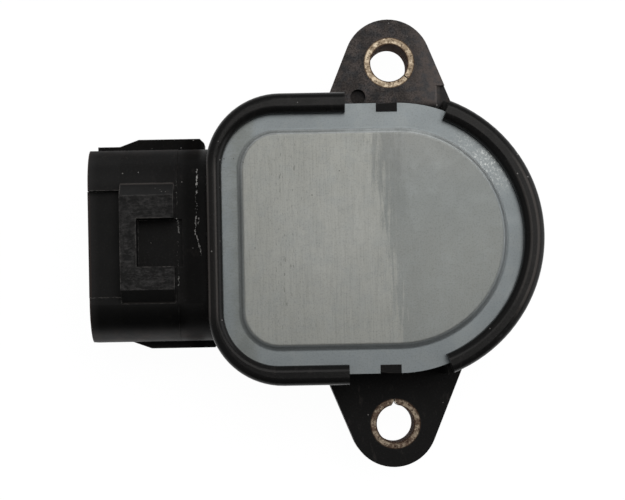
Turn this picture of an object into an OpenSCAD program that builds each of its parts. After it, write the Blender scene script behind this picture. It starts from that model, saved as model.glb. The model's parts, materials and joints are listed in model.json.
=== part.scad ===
// Throttle position sensor, two screw ears, four-way connector hood, stamped cover.
// The origin is on the rotor's axis, at the mounting face. +Z points to the cover and
// -X to the connector's mouth. Lengths are in millimetres and angles in degrees.

/* [Ears] */
// Distance between the two screw holes
hole_spacing = 50; // [48:0.5:58]
// Thickness of the ears
ear_t = 5.5; // [4.5:0.5:7]
// Radius of the round end of each ear
ear_r = 6; // [5.4:0.05:7.5]
// Offset of the ears' outline from the holes, towards the connector
ear_offset = 0.2; // [0:0.05:0.4]
// Angle of an ear's sides to its centre line
ear_slope = 22.3; // [14:0.1:26]
// Outer radius of the split bush in each ear
bush_r = 3.5; // [3.2:0.1:4.2]
// Wall of the split bush
bush_wall = 0.9; // [0.5:0.1:1.2]
// Width of the bush's seam
seam_w = 0.16; // [0.1:0.02:0.4]
// Radius of the moulded pocket at the upper ear's root
pocket_r = 1.04; // [0.6:0.02:1.3]
// Depth of the moulded pocket
pocket_depth = 0.8; // [0.3:0.1:2]
// Distance from the ear's centre line to the pocket
pocket_x = 4.4; // [3.8:0.1:5]
// Depth of the sunk corner at the upper ear's root
sunk_depth = 0.7; // [0.3:0.1:1.5]
// Distance from the ear's centre line to the sunk corner
sunk_x = 6.35; // [5.8:0.05:6.8]

/* [Body] */
// Radius of the round end, which is half the body's width
body_half = 19.25; // [18.5:0.05:21]
// Distance from the rotor's axis to the flat connector side
body_left = 25.25; // [24:0.05:28]
// Radius of the corners on the connector side
body_corner = 9.9; // [9:0.1:12]
// Height of the rim's crest above the mounting face
body_h = 18; // [17:0.5:20]
// Thickness of the floor
floor_t = 2.6; // [2.4:0.1:3.2]
// Width of the land that the cover plate lies on
seat_w = 1.95; // [1.7:0.05:2.2]
// Width of that land on the connector side
seat_w_left = 1.5; // [1.3:0.05:1.8]

/* [Rim] */
// Width of the rim that is formed over the plate
rim_w = 2.65; // [2.2:0.05:2.9]
// Width of the rim on the connector side
rim_w_left = 2.1; // [1.9:0.05:2.4]
// How far the plate's edge reaches under the rim
rim_tuck = 1.25; // [0.9:0.05:1.4]
// How far it reaches under the rim on the connector side
rim_tuck_left = 0.65; // [0.4:0.05:0.8]
// Height of the rim above the plate
rim_h = 1.8; // [1.4:0.1:2.4]
// Rounding of the rim's outer edge
rim_round = 1; // [0.6:0.1:1.1]
// Rounding of the rim's inner edge
rim_inner_round = 0.9; // [0.5:0.1:1]
// Distance from the axis to the end of the rim's connector side
gap_left = 6.75; // [6.5:0.05:8]
// Angle at which the rim starts again on the round side
gap_angle = 68.4; // [64:0.1:70]
// Width of the nib in the plate's notch
nib_w = 2.7; // [2:0.1:3.4]
// Depth of the nib across the wall
nib_depth = 1.1; // [0.7:0.1:1.3]
// Offset of the nibs from the axis, towards the connector
nib_offset = 1.2; // [0:0.1:2]
// Height of the nib above the plate
nib_rise = 0.2; // [0:0.05:0.5]

/* [Cover plate] */
// Thickness of the stamped sheet
plate_t = 1; // [0.8:0.1:1.2]
// Width of the flat border round the raised panel
border_w = 3.1; // [2.6:0.1:4]
// Width of that border on the connector side
border_w_left = 2.6; // [2.4:0.05:3.6]
// Height of the raised panel
panel_rise = 0.35; // [0.3:0.05:0.7]
// Radius of the two bends round the raised panel
panel_bend = 0.8; // [0.6:0.05:1]
// Width of the gasket under the plate
gasket_w = 0.8; // [0.6:0.1:1]
// Thickness of the gasket
gasket_t = 0.8; // [0.5:0.1:1.2]

/* [Connector hood] */
// Distance from the axis to the hood's mouth
hood_end = 41.05; // [39.5:0.05:45]
// Width of the hood
hood_w = 26; // [25:0.1:29]
// Height of the hood
hood_h = 16; // [15:0.5:17]
// Depth of the hood's underside below the mounting face
hood_drop = 1.5; // [1:0.1:2.5]
// Rounding of the hood's long edges
hood_round = 5.2; // [4.2:0.1:6]
// Wall of the hood
hood_wall = 1.7; // [1.4:0.1:2]
// Depth of the socket inside the hood
socket_depth = 12.5; // [10.5:0.5:13]
// Distance from the axis to the step between hood and neck
neck_start = 29.2; // [28:0.1:30]
// Height of that step
neck_step = 0.3; // [0.2:0.1:1]
// Width of the latch channel in the hood's top
channel_w = 14.2; // [12:0.1:15.5]
// Depth of the latch channel
channel_depth = 1.1; // [0.6:0.1:1.2]
// Reach of the channel's floor past the hood's mouth
channel_lip = 0.15; // [0.1:0.05:0.5]
// Width of the lock block at its foot
lock_w = 16; // [14.6:0.1:17]
// Height of the lock block above the hood
lock_h = 2; // [1.4:0.1:3]
// Width of each sloped side of the lock block
lock_slope = 1.8; // [1:0.1:2.2]
// Distance from the hood's mouth to the lock block
lock_start = 4.3; // [3:0.1:6]
// Length of the lock block
lock_len = 7.2; // [6:0.1:7.4]
// Width of the window in the lock block
window_w = 6.4; // [5:0.1:8]
// Thickness of the lock block's bar in front of the window
bar_t = 2.2; // [1.6:0.1:3]
// Depth of the window's floor below the hood's top
window_sink = 0.9; // [0.4:0.1:1]
// Reach of the upper side rib beyond the hood
rib_upper = 1.8; // [1:0.05:2.5]
// Reach of the lower side rib beyond the hood
rib_lower = 0.95; // [0.5:0.05:1.5]
// Thickness of the side ribs
rib_t = 4; // [2:0.1:5]
// Distance from the hood's mouth to the upper rib's full reach
rib_front_upper = 6.3; // [5.8:0.1:8]
// Distance from the hood's mouth to the lower rib's full reach
rib_front_lower = 7.6; // [5.8:0.1:9]

/* [Terminals] */
// Width of a blade
blade_w = 2.2; // [1.5:0.1:2.8]
// Thickness of a blade
blade_t = 0.64; // [0.5:0.02:0.9]
// Distance between neighbouring blades
blade_pitch = 4.2; // [3.8:0.1:4.6]
// Distance of the blades' tips behind the hood's mouth
blade_recess = 3.9; // [3:0.1:6]
// Width of a terminal's inner leg
leg_w = 1; // [0.8:0.1:1.4]
// Distance from the axis to the inner legs
leg_x = 19; // [18.4:0.1:19.6]

/* [Resistor board] */
// Gap between the board's round end and the wall
board_gap = 1.3; // [0.9:0.1:1.6]
// Gap between the board's straight sides and the wall
board_side = 4.9; // [4.4:0.1:5.4]
// Thickness of the board
board_t = 1; // [0.8:0.1:1.2]
// Space between the board and the cover plate
board_space = 1.8; // [1.5:0.1:2.2]
// Reach of the board past the terminal legs
board_tail = 1.6; // [1.3:0.1:1.8]
// Width of a printed track
track_w = 1; // [0.8:0.1:1.2]
// Thickness of a printed track
track_t = 0.08; // [0.05:0.01:0.12]
// Radius of the innermost track
track_inner = 5.2; // [5:0.1:5.4]
// Distance from the outermost track to the board's round edge
track_edge = 2.8; // [2.5:0.1:3]
// Radius of the pegs that the board is staked on
stake_r = 0.7; // [0.5:0.05:0.9]

/* [Rotor] */
// Angle that the rotor turns through
travel = 100; // [80:1:104]
// Radius of the rotor's journal
journal_r = 5; // [4.8:0.1:5.3]
// Radius of the socket for the throttle shaft
shaft_r = 3.2; // [2.8:0.1:3.4]
// Depth of the round part of that socket
shaft_depth = 5.1; // [4:0.1:6]
// Width of the slot for the shaft's tongue
slot_w = 2.6; // [2:0.1:3]
// Length of that slot
slot_len = 8; // [7:0.1:8.4]
// Height of that slot above the round socket
slot_h = 3; // [2:0.1:4]
// Thickness of the flange
flange_t = 1.4; // [1:0.1:1.8]
// Radius of the flange
flange_r = 8.8; // [8.5:0.1:9.2]
// Reach of the flange's brush carrier past the outermost track
carrier_edge = 1.2; // [1:0.1:1.3]
// Angle of the carrier to each side of its middle
carrier_half_angle = 35; // [32:1:37]
// Thickness of the brushes' spring leaf
leaf_t = 0.2; // [0.15:0.01:0.3]
// Height from the flange to the board, which the brushes bridge
brush_h = 2.4; // [2.1:0.1:2.6]
// Distance from a brush's foot to its tips
brush_len = 3.5; // [3:0.1:4]
// Thickness of the drive clip's strip
clip_t = 0.25; // [0.15:0.05:0.35]

/* [Bearing and seals] */
// Wall of the bearing sleeve
bearing_wall = 0.8; // [0.6:0.1:1]
// Length of the bearing sleeve
bearing_len = 3.8; // [3.2:0.1:3.8]
// Height of the bearing's boss above the floor
boss_h = 0.6; // [0.4:0.1:0.8]
// Wall of that boss
boss_wall = 0.9; // [0.7:0.1:0.95]
// Thickness of the thrust washer
washer_t = 0.3; // [0.2:0.05:0.4]
// Width of the thrust washer
washer_w = 1.4; // [1:0.1:1.5]
// Thickness of the retaining ring
ring_t = 0.6; // [0.5:0.05:0.7]
// Outer radius of the spigot
spigot_r = 9; // [8.8:0.1:9.6]
// Height of the spigot below the mounting face
spigot_h = 4; // [3.9:0.1:5]
// Radius of the seal's recess in the spigot
recess_r = 7.6; // [7.2:0.1:7.8]
// Height of the shaft seal
seal_h = 2.1; // [1.8:0.1:2.2]
// Thickness of the mounting seal
oring_t = 1.8; // [1.5:0.1:1.9]
// Radius of the mounting seal's middle line
oring_r = 12.2; // [11.8:0.1:12.6]
// How far the mounting seal stands out of its groove
oring_proud = 0.3; // [0.2:0.05:0.5]
// Thickness of the return spring's wire
wire_t = 0.7; // [0.5:0.05:0.75]
// Number of turns in the return spring
spring_turns = 3.5; // [2.5:1:3.5]

/* [Hidden] */
$fn = 96;

// Radial clearance of a running fit, and of a plate in its pocket
slip = 0.05;
// Clearance beside a moving part
clear = 0.3;
// How far a cut runs past the face that it opens
past = 1;
// How far a piece that stands on another reaches into it
root = 0.5;

// An outline is round on the right and square on the left: [radius, left reach, corner radius]
body_d = [body_half, body_left, body_corner];
lip_d = inset(body_d, rim_w, rim_w_left);
plate_d = inset(body_d, rim_w - rim_tuck, rim_w_left - rim_tuck_left);
pocket_d = inset(plate_d, -slip, -slip);
cavity_d = inset(plate_d, seat_w, seat_w_left);
gasket_inset = (seat_w - gasket_w) / 2;
gasket_inset_left = (seat_w_left - gasket_w) / 2;

// The panel's step is two bends of one radius, which meet half way up
bend_angle = acos(1 - panel_rise / (2 * panel_bend));
step_w = 2 * panel_bend * sin(bend_angle);
panel_d = inset(plate_d, border_w + step_w, border_w_left + step_w);

// Ears: the wall's flat piece, the root inside the body, and the places of the sunk details
gap_right = gap_left - 0.3;
ear_root = 7;
pocket_gap = 1.1;
sunk_reach = 2.5;

// Levels, upwards from the spigot's end
rotor_sink = 0.4;
seal_sink = 0.1;
ring_gap = 0.2;
rotor_z0 = -spigot_h + rotor_sink;
bearing_z1 = floor_t + boss_h;
bearing_z0 = bearing_z1 - bearing_len;
ring_z1 = bearing_z0 - ring_gap;
seal_z0 = -spigot_h + seal_sink;
shoulder_z = bearing_z1 + washer_t + slip;
plate_z1 = body_h - rim_h;
plate_z0 = plate_z1 - plate_t;
board_z1 = plate_z0 - board_space;
board_z0 = board_z1 - board_t;
flange_z1 = board_z0 - brush_h;
flange_z0 = flange_z1 - flange_t;

// Connector
channel_floor = 1.2;
rib_drop = 1.5;
rib_root = 1;
rib_ramp = 2.6;
rib_tail_upper = -0.5;
rib_tail_lower = 1;
rib_cut = 0.6;
upper_lead = 3;
hood_z0 = -hood_drop;
hood_z1 = hood_z0 + hood_h;
socket_x1 = -hood_end + socket_depth;
socket_z0 = hood_z0 + hood_wall;
socket_z1 = hood_z1 - channel_depth - channel_floor;
blade_z = (socket_z0 + socket_z1) / 2;
blade_tip_x = -hood_end + blade_recess;
wall_x = -cavity_d[1];
lock_x = -hood_end + lock_start;
rib_z = blade_z - rib_t / 2 - rib_drop;
blade_y = [1.5 * blade_pitch, 0.5 * blade_pitch, -0.5 * blade_pitch, -1.5 * blade_pitch];

// Cored pockets in the underside
core_x = 5.4;
core_pitch = 8.4;
core_size = [5.6, 6.6];
core_corner = 1;

// Board and tracks
board_r = cavity_d[0] - board_gap;
board_w = 2 * (cavity_d[0] - board_side);
track_pitch = (board_r - track_edge - track_inner) / 3;
track_radii = [for (i = [0:3]) track_inner + i * track_pitch];
track_end = 60;
return_angle = track_end + 14;
return_span = 6;

// Rotor and its stops
groove_depth = 0.6;
shoulder_w = 0.8;
stop_play = 0.5;
stop_span = 8;
stop_reach = 1.8;
boss_r = journal_r + slip + bearing_wall + boss_wall;
carrier_r = track_radii[3] + carrier_edge;
rest_angle = -travel / 2;
stop_angle = travel / 2 + carrier_half_angle + stop_play;
groove_r = journal_r - groove_depth;
shoulder_r = journal_r + shoulder_w;
peg_foot_r = 0.45;

// Return spring
coil_space = 0.9;
coil_gap = 0.15;
coil_lead = 10;
coil_r = shoulder_r + coil_space + wire_t / 2;
coil_z0 = bearing_z1 + wire_t / 2 + coil_gap;
coil_z1 = flange_z0 - wire_t / 2 - coil_gap;
coil_end_angle = rest_angle - coil_lead;
coil_start_angle = coil_end_angle - 360 * spring_turns;
fixed_leg = 4.5;
moving_leg = 3.5;
leg_grip = 0.7;
post_r = 0.9;
post_h = 2.8;
peg_r = 0.8;
fixed_post = [coil_r + wire_t / 2 + slip + post_r, leg_grip - fixed_leg];
moving_peg = [coil_r + wire_t / 2 + slip + peg_r, moving_leg - leg_grip];

// Places where the board is staked on the housing
stake_reach = 3.1;
stake_inset = 1.1;
stake_post = 1.1;
stake_head = [0.6, 0.2, 0.6];
pad_angle = 10;
pad_gap = 0.5;
wall_bite = 0.6;
stakes = [[-leg_x, blade_y[0] + stake_reach], [-leg_x, blade_y[3] - stake_reach],
    stake_at(stop_angle + stop_span / 2), stake_at(-stop_angle - stop_span / 2)];

function inset(d, side, left) = [d[0] - side, d[1] - left, d[2] - side];
function polar(r, a) = [r * cos(a), r * sin(a)];
function stake_at(a) = polar(board_r - stake_inset, a);

// A flat outline with one round and one square end
module d_face(d) {
    reach = d[1] - d[2];
    circle(r = d[0]);
    translate([-reach, -d[0]]) square([reach, 2 * d[0]]);
    translate([-d[1], d[2] - d[0]]) square([d[2], 2 * (d[0] - d[2])]);
    for (side = [-1, 1]) translate([-reach, side * (d[0] - d[2])]) circle(r = d[2]);
}

// A section carried round such an outline: x is the distance outwards, y is the height
module d_ring(d) {
    reach = d[1] - d[2];
    flat = d[0] - d[2];
    rotate([0, 0, -90]) rotate_extrude(angle = 180) translate([d[0], 0]) children();
    for (side = [0, 1]) mirror([0, side, 0]) {
        translate([-reach, d[0], 0]) rotate([90, 0, 90]) linear_extrude(reach) children();
        translate([-reach, flat, 0]) rotate([0, 0, 90]) rotate_extrude(angle = 90)
            translate([d[2], 0]) children();
    }
    translate([-d[1], flat, 0]) mirror([1, 0, 0]) rotate([90, 0, 0])
        linear_extrude(2 * flat) children();
}

module tube(r_in, r_out, h) {
    difference() {
        cylinder(r = r_out, h = h);
        translate([0, 0, -past]) cylinder(r = r_in, h = h + 2 * past);
    }
}

// A flat sector of a ring, from angle a0 to a1
module sector(r_in, r_out, h, a0, a1) {
    rotate([0, 0, a0]) rotate_extrude(angle = a1 - a0) translate([r_in, 0]) square([r_out - r_in, h]);
}

module round_rect(w, h, r) {
    translate([-w / 2, r - h / 2]) square([w, h - 2 * r]);
    translate([r - w / 2, -h / 2]) square([w - 2 * r, h]);
    for (x = [-1, 1], y = [-1, 1]) translate([x * (w / 2 - r), y * (h / 2 - r)]) circle(r = r);
}

// A shape drawn across the connector (y to the side, z up) and carried along X
module along_x(x0, x1) {
    translate([x0, 0, 0]) rotate([90, 0, 90]) linear_extrude(x1 - x0) children();
}

module at_both_ears() {
    for (side = [0, 1]) mirror([0, side, 0]) children();
}

module ear_outline() {
    top = hole_spacing / 2 + ear_r * sin(ear_slope);
    half = ear_r * cos(ear_slope);
    foot = body_half - ear_root;
    foot_half = half + (top - foot) * tan(ear_slope);
    translate([-ear_offset, 0]) {
        translate([0, hole_spacing / 2]) circle(r = ear_r);
        polygon([[half, top], [foot_half, foot], [-foot_half, foot], [-half, top]]);
    }
}

module body_mass() {
    linear_extrude(body_h) d_face(inset(body_d, rim_round, rim_round));
    d_ring(body_d) translate([-rim_round, 0]) {
        square([rim_round, body_h - rim_round]);
        translate([0, body_h - rim_round]) intersection() {
            circle(r = rim_round);
            square(rim_round);
        }
    }
}

// The plate's pocket under the rim, the opening over it and the room inside
module body_cuts() {
    translate([0, 0, floor_t]) linear_extrude(body_h) d_face(cavity_d);
    translate([0, 0, plate_z0]) linear_extrude(plate_t) d_face(pocket_d);
    translate([0, 0, plate_z1]) {
        linear_extrude(rim_h + past) d_face(lip_d);
        d_ring(lip_d) translate([0, rim_h - rim_inner_round]) difference() {
            square([rim_inner_round, rim_inner_round + past]);
            translate([rim_inner_round, 0]) circle(r = rim_inner_round);
        }
    }
    translate([0, 0, plate_z0 - gasket_t]) linear_extrude(gasket_t + past) gasket_face(0);
}

module gasket_face(play) {
    difference() {
        d_face(inset(plate_d, gasket_inset + play, gasket_inset_left + play));
        d_face(inset(plate_d, gasket_inset + gasket_w - play, gasket_inset_left + gasket_w - play));
    }
}

// At each ear the rim is left out and the wall stands flush with the plate's edge
module rim_gap() {
    low = lip_d[0] * sin(gap_angle) - past;
    high = body_half + past;
    translate([0, 0, plate_z0]) linear_extrude(body_h) polygon([[-gap_left, low], [-gap_left, high],
        [high / tan(gap_angle), high], [low / tan(gap_angle), low]]);
    translate([0, 0, ear_t]) linear_extrude(body_h) difference() {
        translate([-gap_left, low]) square([gap_left + gap_right, high - low]);
        d_face(plate_d);
    }
}

module nib() {
    translate([-nib_offset - nib_w / 2, plate_d[0] - nib_depth, plate_z0]) linear_extrude(plate_t + nib_rise)
        intersection() {
            square([nib_w, nib_depth]);
            translate([nib_offset + nib_w / 2, nib_depth - plate_d[0]]) circle(r = plate_d[0]);
        }
}

// The pocket and the sunk corner with one sloped side, at the upper ear's root
module ear_details() {
    translate([-pocket_x, body_half + pocket_gap, ear_t - pocket_depth])
        cylinder(r = pocket_r, h = pocket_depth + past);
    translate([sunk_x, body_half + sunk_reach, ear_t]) rotate([90, 0, 0]) linear_extrude(2 * sunk_reach)
        polygon([[0, 0], [sunk_depth, -sunk_depth], [ear_r, -sunk_depth], [ear_r, past], [0, past]]);
}

module hood_mass() {
    mid = hood_z0 + hood_h / 2;
    neck_h = hood_h - neck_step - hood_drop;
    along_x(-hood_end, -neck_start) translate([0, mid]) round_rect(hood_w, hood_h, hood_round);
    along_x(-neck_start, wall_x) translate([0, neck_h / 2])
        round_rect(hood_w, neck_h, hood_round);
    along_x(lock_x, lock_x + lock_len) translate([0, hood_z1]) polygon([[-lock_w / 2, -channel_depth],
        [-lock_w / 2, 0], [lock_slope - lock_w / 2, lock_h], [lock_w / 2 - lock_slope, lock_h],
        [lock_w / 2, 0], [lock_w / 2, -channel_depth]]);
    along_x(-hood_end - channel_lip, past - hood_end) translate([-channel_w / 2, socket_z1])
        square([channel_w, channel_floor]);
    side_rib(rib_upper, rib_front_upper, upper_lead, rib_tail_upper);
    mirror([0, 1, 0]) side_rib(rib_lower, rib_front_lower, 0, rib_tail_lower);
}

// A rib along the hood's side, at full reach from front on, with a slanted ramp and a thin lead.
// Its tail is how far it reaches past the body's flat side.
module side_rib(reach, front, lead, tail) {
    side = hood_w / 2;
    ramp = front - rib_ramp;
    lead_reach = side + lead * reach / front;
    end = hood_end - body_left + tail;
    translate([-hood_end, 0, rib_z]) linear_extrude(rib_t) polygon([
        [ramp - lead, side - rib_root], [ramp - lead, lead_reach], [ramp, lead_reach],
        [front, side + reach], [end - rib_cut, side + reach], [end, side + reach - rib_cut],
        [end, side - rib_root]]);
}

module hood_cuts() {
    socket_h = socket_z1 - socket_z0;
    socket_w = hood_w - 2 * hood_wall;
    along_x(-hood_end - past, socket_x1) translate([0, blade_z])
        round_rect(socket_w, socket_h, hood_round - hood_wall);
    along_x(-hood_end - past, lock_x) translate([-channel_w / 2, hood_z1 - channel_depth])
        square([channel_w, lock_h + channel_depth + past]);
    along_x(lock_x + bar_t, lock_x + lock_len + past) translate([-window_w / 2, hood_z1 - window_sink])
        square([window_w, lock_h + window_sink + past]);
    for (y = blade_y) along_x(socket_x1 - past, wall_x + past)
        translate([y - blade_w / 2, blade_z - blade_t / 2]) square([blade_w, blade_t]);
}

// Cored pockets in the underside, between the seal's groove and the connector side
module core_pockets() {
    for (y = [-1, 0, 1]) translate([core_x - body_left, y * core_pitch, -past])
        linear_extrude(past + floor_t / 2) round_rect(core_size[0], core_size[1], core_corner);
}

module housing() {
    color([0.09, 0.085, 0.085]) {
        difference() {
            union() {
                body_mass();
                at_both_ears() linear_extrude(ear_t) ear_outline();
                hood_mass();
                translate([0, 0, -spigot_h]) cylinder(r = spigot_r, h = spigot_h + root);
            }
            body_cuts();
            at_both_ears() {
                rim_gap();
                translate([0, hole_spacing / 2, -past]) cylinder(r = bush_r, h = ear_t + 2 * past);
            }
            ear_details();
            hood_cuts();
            core_pockets();
            translate([0, 0, -spigot_h - past]) {
                cylinder(r = recess_r, h = spigot_h + past + bearing_z0);
                cylinder(r = journal_r + slip + bearing_wall, h = spigot_h + past + floor_t + past);
            }
            translate([0, 0, -past]) tube(oring_r - oring_t / 2 - slip, oring_r + oring_t / 2 + slip,
                past + oring_t - oring_proud);
        }
        at_both_ears() nib();
        translate([0, 0, floor_t - root]) tube(journal_r + slip + bearing_wall, boss_r, boss_h + root);
        inner_supports();
    }
}

// Stops for the rotor, the pad and posts under the board, and the spring's post
module inner_supports() {
    support_h = board_z0 - floor_t;
    wall_r = cavity_d[0] + wall_bite;
    support_r = track_radii[3] + track_w / 2 + clear;
    translate([0, 0, floor_t]) {
        for (side = [0, 1]) mirror([0, side, 0]) {
            sector(carrier_r - stop_reach, wall_r, flange_z1 - floor_t, stop_angle, stop_angle + stop_span);
            sector(support_r, wall_r, support_h, stop_angle, stop_angle + stop_span);
        }
        sector(carrier_r + pad_gap, wall_r, support_h, -pad_angle, pad_angle);
        for (i = [0, 1]) translate(stakes[i]) cylinder(r = stake_r + stake_post, h = support_h);
        rotate([0, 0, coil_start_angle]) translate(fixed_post) cylinder(r = post_r, h = post_h);
    }
    for (place = stakes) translate([place[0], place[1], board_z0 - root]) {
        cylinder(r = stake_r, h = board_t + root);
        translate([0, 0, board_t + root])
            cylinder(r1 = stake_r + stake_head[0], r2 = stake_r + stake_head[1], h = stake_head[2]);
    }
}

// The section of the step round the panel: short flats along the top bend, then the lower one
module step_section() {
    flats = 5;
    turns = [for (i = [0:flats]) bend_angle * i / flats];
    upper = [for (a = turns) [panel_bend * sin(a), panel_rise - panel_bend * (1 - cos(a))]];
    lower = [for (i = [1:flats]) [step_w - upper[flats - i][0], panel_rise - upper[flats - i][1]]];
    polygon(concat([[0, 0]], upper, lower));
}

// The panel's mass above a level, drawn for the sheet's top and again for its underside
module panel_mass(z) {
    translate([0, 0, z]) {
        linear_extrude(panel_rise) d_face(panel_d);
        d_ring(panel_d) step_section();
    }
}

module cover_plate() {
    notch_w = nib_w + 2 * slip;
    color([0.58, 0.61, 0.62]) difference() {
        union() {
            translate([0, 0, plate_z0]) linear_extrude(plate_t) d_face(plate_d);
            panel_mass(plate_z1);
        }
        translate([0, 0, -0.001]) panel_mass(plate_z0);
        at_both_ears() translate([-nib_offset - notch_w / 2, plate_d[0] - nib_depth - slip, plate_z0 - past])
            cube([notch_w, nib_depth + past, plate_t + 2 * past]);
    }
}

module cover_gasket() {
    color([0.35, 0.12, 0.08]) translate([0, 0, plate_z0 - gasket_t])
        linear_extrude(gasket_t) gasket_face(slip);
}

// A rolled sleeve whose seam points along the given angle and opens to a notch in the bore
module ear_bush(seam_angle, notch) {
    bore_r = bush_r - bush_wall;
    color([0.76, 0.66, 0.48]) difference() {
        tube(bore_r, bush_r, ear_t);
        rotate([0, 0, seam_angle]) translate([0, 0, -past]) linear_extrude(ear_t + 2 * past) {
            translate([0, -seam_w / 2]) square([bush_r + past, seam_w]);
            polygon([[bore_r - bush_wall, -2 * notch], [bore_r - bush_wall, 2 * notch],
                [bore_r + 0.7 * bush_wall, 0]]);
        }
    }
}

module upper_ear_bush() { translate([0, hole_spacing / 2, 0]) ear_bush(-41, 0.08); }
module lower_ear_bush() { translate([0, -hole_spacing / 2, 0]) ear_bush(92, 0.5); }

// A flat blade in the hood, moulded into the wall, with a leg that stands up through the board
module terminal(i) {
    tip = 0.7;
    tip_cut = 0.5;
    leg_proud = 0.8;
    color([0.72, 0.66, 0.5]) translate([0, blade_y[i], 0]) {
        translate([0, 0, blade_z - blade_t / 2]) linear_extrude(blade_t) polygon([
            [blade_tip_x, tip_cut - blade_w / 2], [blade_tip_x + tip, -blade_w / 2], [wall_x, -blade_w / 2],
            [wall_x, -leg_w / 2], [-leg_x, -leg_w / 2], [-leg_x, leg_w / 2], [wall_x, leg_w / 2],
            [wall_x, blade_w / 2], [blade_tip_x + tip, blade_w / 2], [blade_tip_x, blade_w / 2 - tip_cut]]);
        translate([-leg_x - blade_t / 2, -leg_w / 2, blade_z - blade_t / 2])
            cube([blade_t, leg_w, board_z1 + leg_proud - blade_z + blade_t / 2]);
    }
}

module terminal_supply() { terminal(0); }
module terminal_signal() { terminal(1); }
module terminal_idle() { terminal(2); }
module terminal_ground() { terminal(3); }

module leg_hole(play) {
    square([blade_t + 2 * play, leg_w + 2 * play], center = true);
}

module resistor_board() {
    color([0.86, 0.84, 0.78]) translate([0, 0, board_z0]) linear_extrude(board_t) difference() {
        union() {
            circle(r = board_r);
            translate([-leg_x - board_tail, -board_w / 2]) square([leg_x + board_tail, board_w]);
        }
        for (y = blade_y) translate([-leg_x, y]) leg_hole(slip);
        for (place = stakes) translate(place) circle(r = stake_r + slip);
    }
}

// One printed arc, from angle a0 to a1
module track(i, a0, a1) {
    sector(track_radii[i] - track_w / 2, track_radii[i] + track_w / 2, track_t, a0, a1);
}

// A lead that leaves a track and runs straight to a terminal's leg
module lead(i, y) {
    x = -sqrt(track_radii[i] * track_radii[i] - y * y);
    pad_w = leg_w + 2 * clear;
    linear_extrude(track_t) difference() {
        union() {
            translate([-leg_x, y - track_w / 2]) square([x + leg_x, track_w]);
            translate([-leg_x, y]) square(pad_w, center = true);
        }
        translate([-leg_x, y]) leg_hole(slip);
    }
}

module resistor_tracks() {
    out = [for (i = [1:3]) 180 - asin(blade_y[3 - i] / track_radii[i])];
    color([0.12, 0.12, 0.13]) translate([0, 0, board_z0 - track_t]) {
        // Idle contact, signal collector and resistor, each with a lead to its terminal
        track(1, -track_end, out[0]);
        track(2, -track_end, out[1]);
        track(3, -out[2], out[2]);
        for (i = [1:3]) lead(i, blade_y[3 - i]);
        mirror([0, 1, 0]) lead(3, blade_y[0]);
        // The idle contact's return, joined to the resistor's ground end
        track(0, -return_angle, track_end);
        sector(track_radii[0], track_radii[3], track_t, -return_angle, return_span - return_angle);
    }
}

module solder_joints() {
    fillet_h = 0.6;
    fillet_top = leg_w / 2 + 0.2;
    color([0.75, 0.76, 0.78]) for (y = blade_y) translate([-leg_x, y, board_z1]) difference() {
        cylinder(r1 = leg_w, r2 = fillet_top, h = fillet_h);
        translate([0, 0, -past]) linear_extrude(fillet_h + 2 * past) leg_hole(0);
    }
}

module rotor() {
    hub_h = 1;
    color([0.82, 0.8, 0.74]) difference() {
        union() {
            translate([0, 0, rotor_z0]) cylinder(r = journal_r, h = shoulder_z - rotor_z0 + root);
            translate([0, 0, shoulder_z]) cylinder(r = shoulder_r, h = flange_z1 - shoulder_z);
            translate([0, 0, flange_z0]) cylinder(r = flange_r, h = flange_t);
            translate([0, 0, flange_z1 - root]) cylinder(r = shoulder_r / 2, h = root + hub_h);
            translate([0, 0, flange_z0]) sector(shoulder_r, carrier_r, flange_t,
                rest_angle - carrier_half_angle, rest_angle + carrier_half_angle);
            rotate([0, 0, coil_end_angle])
                translate([moving_peg[0], moving_peg[1], flange_z0 - wire_t - 2 * coil_gap])
                    cylinder(r = peg_r, h = wire_t + 2 * coil_gap + root);
            rotate([0, 0, rest_angle]) for (place = [signal_foot(), idle_foot()])
                translate([place[0], place[1], flange_z1 - root])
                    cylinder(r = peg_foot_r, h = root + 2 * leaf_t);
        }
        translate([0, 0, rotor_z0 - past]) cylinder(r = shaft_r, h = shaft_depth + past);
        translate([-slot_len / 2, -slot_w / 2, rotor_z0 + shaft_depth]) cube([slot_len, slot_w, slot_h]);
        translate([0, 0, ring_z1 - ring_t - slip]) tube(groove_r, journal_r + past, ring_t + 2 * slip);
    }
}

module rotor_bearing() {
    color([0.72, 0.58, 0.32]) translate([0, 0, bearing_z0])
        tube(journal_r + slip, journal_r + slip + bearing_wall, bearing_len);
}

// A folded strip that lines the tongue's slot and takes up its play
module rotor_drive_clip() {
    sink = 0.1;
    end_gap = 0.6;
    h = slot_h - sink;
    color([0.55, 0.57, 0.6]) translate([end_gap - slot_len / 2, 0, rotor_z0 + shaft_depth + sink])
        rotate([90, 0, 90]) linear_extrude(slot_len - 2 * end_gap) difference() {
            translate([-slot_w / 2, 0]) square([slot_w, h]);
            translate([clip_t - slot_w / 2, -past]) square([slot_w - 2 * clip_t, h - clip_t + past]);
        }
}

function signal_foot() = [(track_radii[2] + track_radii[3]) / 2, -brush_len];
function idle_foot() = [(track_radii[0] + track_radii[1]) / 2, brush_len];

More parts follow.
